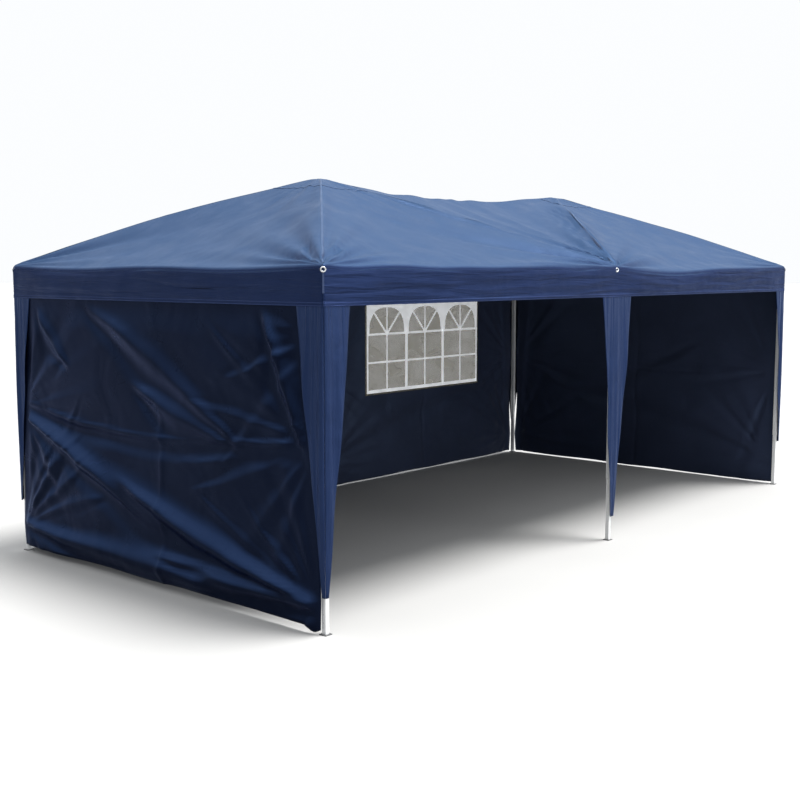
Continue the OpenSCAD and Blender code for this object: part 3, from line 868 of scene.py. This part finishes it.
def plain_folds(seed):
    """A quieter drape, for the walls seen from inside."""
    def folds(s, z):
        total = 0.012 * wavy(s * 0.3 + 0.12 * z, 1.4, seed)
        for k, (at, height) in enumerate(((-1.45, 0.2), (1.45, 0.2), (-1.45, 1.05), (1.45, 1.05))):
            total += fan(s, z, (at, height), 0.32, 17, 0.0065, seed + 20 + k)
        total += fold(s, z, (-1.4, 0.2), (0.9, 0.75), 0.06, 0.014, 0.05)
        total += fold(s, z, (1.4, 0.25), (-0.6, 1.25), 0.06, 0.014, -0.04)
        total += 0.007 * bell(z - 1.0 + 0.03 * wavy(s, 0.5, seed + 3), 0.014)
        total += 0.006 * bell(s + 0.02 * wavy(z, 1.0, seed + 4), 0.014)
        return total

    return folds


def pinch(z):
    """How far the wall's edges pull in from the leg between the ties."""
    return 0.020 * np.abs(np.sin(math.pi * (z - 0.2) / 0.85)) * smoothstep(1.9, 1.6, z)


def wall_sheet(name, body, place, folds, flipped, window=None, tail=False, low=0.016):
    """A hanging wall. place(s, out, z) puts a point of it, and folds(s, z) is how far it stands out. flipped
    turns its faces over, window is the opening to leave in it, tail lets its front bottom corner hang lower,
    and low is the height of its bottom edge."""
    s_line = np.linspace(-1, 1, 161)
    z_line = np.linspace(0, 1, 108)
    if window:
        ws, wz = window
        s_line = np.unique(np.concatenate([s_line, np.array(ws) / WALL_HALF]))
        z_share = (np.array(wz) - WALL_LOW) / (WALL_TOP - WALL_LOW)
        z_line = np.unique(np.concatenate([z_line, z_share]))
    s, t = np.meshgrid(s_line, z_line)
    bottom = low - 0.006 * (1 - s**2) + 0.006 * wavy(s, 1.1, 17)
    if tail:
        bottom = bottom - 0.030 * bell(s + 0.965, 0.035) - 0.010 * (s < 0) * np.abs(s) ** 3 + 0.004
    z = WALL_LOW + (WALL_TOP - WALL_LOW) * t
    z = z + (bottom - WALL_LOW) * (1 - t) ** 6
    across = s * (WALL_HALF - 0.006 - pinch(z) * np.abs(s) ** 8 * np.where(s > 0, 1.3, 0.4))
    skirt_edge = (0.012 + 0.2 * np.clip((z - 0.2) / 1.58, 0, 1)) / WALL_HALF
    held = smoothstep(0, 1, (1 - np.abs(s) - 0.75 * skirt_edge) / 0.05) * smoothstep(0.16, 0.36, WALL_TOP - z)
    out = (0.012 + folds(across, z)) * held
    out = 0.5 * (out + np.sqrt(out * out + 0.006**2)) - 0.003
    if window:
        mid_s, mid_z = np.mean(ws), np.mean(wz)
        near = np.maximum(np.abs(across - mid_s) - np.ptp(ws) / 2, np.abs(z - mid_z) - np.ptp(wz) / 2)
        out = out * smoothstep(-0.01, 0.14, near) + 0.004 * wavy(across * 0.8, 1.0, 21) * bell(z - mid_z, 0.5)
    world_points = place(across, out, z).reshape(-1, 3)
    uv = np.stack([across, z], -1).reshape(-1, 2)
    rows, columns = s.shape

    def keep(r, c):
        if not window:
            return True
        cs = (s_line[c] + s_line[c + 1]) / 2 * WALL_HALF
        cz = WALL_LOW + (WALL_TOP - WALL_LOW) * (z_line[r] + z_line[r + 1]) / 2
        return not (ws[0] < cs < ws[1] and wz[0] < cz < wz[1])

    faces = grid_faces(rows, columns, keep)
    if flipped:
        faces = [f[::-1] for f in faces]
    made = thicken(build(name, world_points, faces, uv, [SHADED_WALL_CLOTH, WALL_IN]))
    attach(made, body)
    return made


END_X, BACK_Y = 2.9775, 1.5025  # the walls' outer faces
WALL_EASE = 0.0004


def end_place(side):
    """Puts a wall's points at the left or right end."""
    return lambda s, out, z: np.stack([side * (END_X - WALL_EASE + out * 0.9), s, z], -1)


def back_place(centre):
    """Puts a wall's points at the back, about a place along X."""
    return lambda s, out, z: np.stack([centre + s, BACK_Y - WALL_EASE + out * 0.7, z], -1)


wall_left = wall_sheet("side_wall_left", "leg_back_left", end_place(-1), side_folds, True,
                       tail=True, low=0.045)
wall_right = wall_sheet("side_wall_right", "leg_back_right", end_place(1), plain_folds(200), False)
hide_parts("wall_left")
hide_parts("wall_right")
WINDOW = ((-0.845, 0.845), (0.82, 1.65))  # its opening, from the panel's centre and from the ground
BACK_PANELS = (("left", -LEG_Y), ("right", LEG_Y))
back_walls = {}
for side, centre in BACK_PANELS:
    back_walls[side] = wall_sheet(f"back_wall_{side}", "leg_back_middle", back_place(centre),
                                  plain_folds(300 + int(centre)), True, WINDOW)
    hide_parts("walls_back")
for made in (wall_left, wall_right):
    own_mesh(made)


# ---------- windows
SPRING, CROWN = 0.55, 0.80  # heights in the window where the arches start and end
LOW_BAR = 0.285
ARCH_HALF, ARCH_POWER = 0.250, 2.6
BAR_THICK, FIELD_THICK, FILM_THICK = 0.0014, 0.0011, 0.0006
LATTICE_IN, FILM_IN, FILM_HEM = 0.0045, 0.0032, 0.02


def window_swell(x, z):
    """How far the window's middle bellies out, by place in it."""
    (low_z, high_z) = WINDOW[1]
    return 0.7 * (0.004 * wavy(x * 0.8, 1.0, 21) * bell(z - (low_z + high_z) / 2, 0.5))


def strip(centre_line, width, thick):
    """Points and faces of a flat bar along a line in the window's own plane."""
    line = np.array(centre_line, float)
    tangent = np.gradient(line, axis=0)
    tangent /= np.maximum(np.linalg.norm(tangent, axis=1)[:, None], 1e-9)
    normal = np.stack([-tangent[:, 1], tangent[:, 0]], -1)
    left, right = line + normal * width / 2, line - normal * width / 2
    shape = []
    for a, depth in ((left, 0.0), (left, thick), (right, thick), (right, 0.0)):
        shape.append(np.column_stack([a, np.full(len(a), depth)]))
    count = len(line)
    made_points = np.concatenate(shape)
    faces = []
    for k in range(4):
        n = (k + 1) % 4
        for c in range(count - 1):
            faces.append((k * count + c, n * count + c, n * count + c + 1, k * count + c + 1))
    faces += [tuple(k * count for k in range(4)), tuple(k * count + count - 1 for k in range(4))[::-1]]
    return made_points, faces


def lattice_bars():
    """The lattice's straight bars, each as its two ends and its width."""
    (x0, x1), (z0, z1) = WINDOW
    cell = (x1 - x0) / 3
    spring, crown = z0 + SPRING, z0 + CROWN
    bars = []
    for z, width in ((z0 + 0.012, 0.030), (z1 - 0.010, 0.026)):
        bars.append(([(x0, z), (x1, z)], width))
    for x in (x0 + 0.009, x1 - 0.009):
        bars.append(([(x, z0), (x, z1)], 0.020))
    for z, width in ((spring, 0.019), (z0 + LOW_BAR, 0.016)):
        bars.append(([(x0, z), (x1, z)], width))
    for k in range(3):
        middle = x0 + cell * (k + 0.5)
        bars.append(([(middle, z0), (middle, crown)], 0.016))
        for s in (-1, 1):
            bars.append(([(middle, spring), (middle + s * 0.178, spring + 0.198)], 0.018))
        if k:
            edge = x0 + cell * k
            bars.append(([(edge, z0), (edge, spring + 0.1)], 0.034))
    return bars


def lattice_shape():
    """Points and faces of the whole printed lattice, as x, z and depth."""
    (x0, x1), (z0, z1) = WINDOW
    cell = (x1 - x0) / 3
    spring, crown = z0 + SPRING, z0 + CROWN
    all_points, all_faces = [], []

    def add(made_points, faces):
        start = len(all_points)
        all_points.extend(made_points.tolist())
        all_faces.extend([tuple(start + v for v in f) for f in faces])

    for line, width in lattice_bars():
        dense = np.column_stack([np.linspace(line[0][q], line[1][q], 24) for q in (0, 1)])
        add(*strip(dense, width, BAR_THICK))
    # pale fields above the arches: between each arch and the top edge
    for k in range(3):
        middle = x0 + cell * (k + 0.5)
        for s in (-1, 1):
            across = np.concatenate([np.linspace(0, 1, 40) * ARCH_HALF, [cell / 2]])
            share = (1 - np.clip(across / ARCH_HALF, 0, 1) ** ARCH_POWER) ** (1 / ARCH_POWER)
            arch = spring + (crown - spring) * share
            arch[-1] = spring
            base = len(all_points)
            for depth in (0.0, FIELD_THICK):
                for q in range(len(across)):
                    all_points.append([middle + s * across[q], arch[q], depth])
                    all_points.append([middle + s * across[q], z1, depth])
            count = 2 * len(across)
            for q in range(len(across) - 1):
                a, b, c, d = base + 2 * q, base + 2 * q + 1, base + 2 * q + 3, base + 2 * q + 2
                front = (a, b, c, d) if s < 0 else (d, c, b, a)
                all_faces.append(front)
                all_faces.append(tuple(count + v for v in front[::-1]))
                all_faces.append((a, d, d + count, a + count) if s > 0 else (a + count, d + count, d, a))
    return np.array(all_points), all_faces


def window(side, centre):
    """Clear film with a printed lattice of three arches, sewn behind the opening in the wall."""
    local, faces = lattice_shape()
    x, z, depth = local.T
    placed = np.column_stack([centre + x, BACK_Y - LATTICE_IN + window_swell(x, z) - depth, z])
    lattice = build(f"window_lattice_{side}", placed, faces, local[:, :2], [PRINT], smooth=False)
    (x0, x1), (z0, z1) = WINDOW
    rows, columns = 30, 60
    x, z = np.meshgrid(np.linspace(x0 - FILM_HEM, x1 + FILM_HEM, columns),
                       np.linspace(z0 - FILM_HEM, z1 + FILM_HEM, rows))
    film_points = np.stack([centre + x, BACK_Y - FILM_IN + window_swell(x, z), z], -1).reshape(-1, 3)
    film = build(f"window_film_{side}", film_points, grid_faces(rows, columns),
                 np.stack([x, z], -1).reshape(-1, 2), [FILM])
    thicken(film, FILM_THICK, 0)
    for made in (lattice, film):
        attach(made, "leg_back_middle")
    return lattice, film


for side, centre in BACK_PANELS:
    lattice, film = window(side, centre)
    for made in (back_walls[side], lattice, film):
        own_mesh(made)


# ---------- eyelets, webbing and corner seams
EYELET_R, EYELET_WIRE, EYELET_FLAT = 0.0125, 0.0034, 0.55
WEBBING_TOP, WEBBING_LOW = EAVE - 0.045, EAVE - 0.15


def eyelet(name, leg, place, out):
    """A pressed metal ring; out is the way it faces."""
    bpy.ops.mesh.primitive_torus_add(major_radius=EYELET_R, minor_radius=EYELET_WIRE, major_segments=40,
                                     minor_segments=14, location=place)
    made = bpy.context.object
    made.name = name
    made.rotation_euler = Vector(out).to_track_quat("Z", "Y").to_euler()
    made.scale = (1, 1, EYELET_FLAT)
    made.data.materials.append(RING)
    made.data.polygons.foreach_set("use_smooth", [True] * len(made.data.polygons))
    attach(made, "leg_" + leg)


for leg, (gx, gy) in LEGS.items():
    out, place = (-0.25, gy, 0.1), (0, gy * (HALF_Y + 0.003), EAVE - 0.028)
    if gx:
        out = (gx * 0.7, gy * 0.7, 0.1)
        place = (gx * (HALF_X - 0.0035), gy * (HALF_Y - 0.0035), EAVE - 0.025)
    eyelet("eyelet_" + leg, leg, place, out)


def corner_strip(name, leg, top, low, width, paint, stand):
    """A narrow flat strip down the cover's corner, wrapped round it, as webbing or a seam."""
    gx, gy = LEGS[leg]
    rows, columns = 40, 7
    made_points, made_uv = [], []
    for r in range(rows):
        z = top + (low - top) * r / (rows - 1)
        for c in range(columns):
            t = c / (columns - 1) - 0.5
            lift = 0.0015 + stand - 0.0012 * abs(2 * t) ** 3
            inset = CORNER_R * (1 - math.sqrt(0.5)) + 0.002 - lift / math.sqrt(2)
            made_points.append((gx * (HALF_X - inset - t * width * 0.7),
                                gy * (HALF_Y - inset + t * width * 0.7), z))
            made_uv.append((t * width, z))
    faces = grid_faces(rows, columns)
    if gx * gy > 0:
        faces = [f[::-1] for f in faces]
    made = build(name, made_points, faces, made_uv, [paint])
    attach(made, "leg_" + leg)


for leg, (gx, gy) in LEGS.items():
    if gx:
        corner_strip("corner_webbing_" + leg, leg, WEBBING_TOP, WEBBING_LOW, 0.010, STRAP, 0.004)
        corner_strip("corner_seam_" + leg, leg, WEBBING_LOW, EAVE - VALANCE, 0.006, TAPE, 0.003)


# ---------- the CAD nodes' paint
def paint_for(name):
    """The material of a CAD node, by its name."""
    if name.startswith("inner_leg"):
        return FOOT
    if name.startswith("leg"):
        return UPRIGHT
    if name.startswith(("slider", "hub")):
        return FITTING
    return FRAME


for name, node in frame["nodes"].items():
    if node.hide_render:
        continue
    node.data.materials.clear()
    node.data.materials.append(paint_for(name))
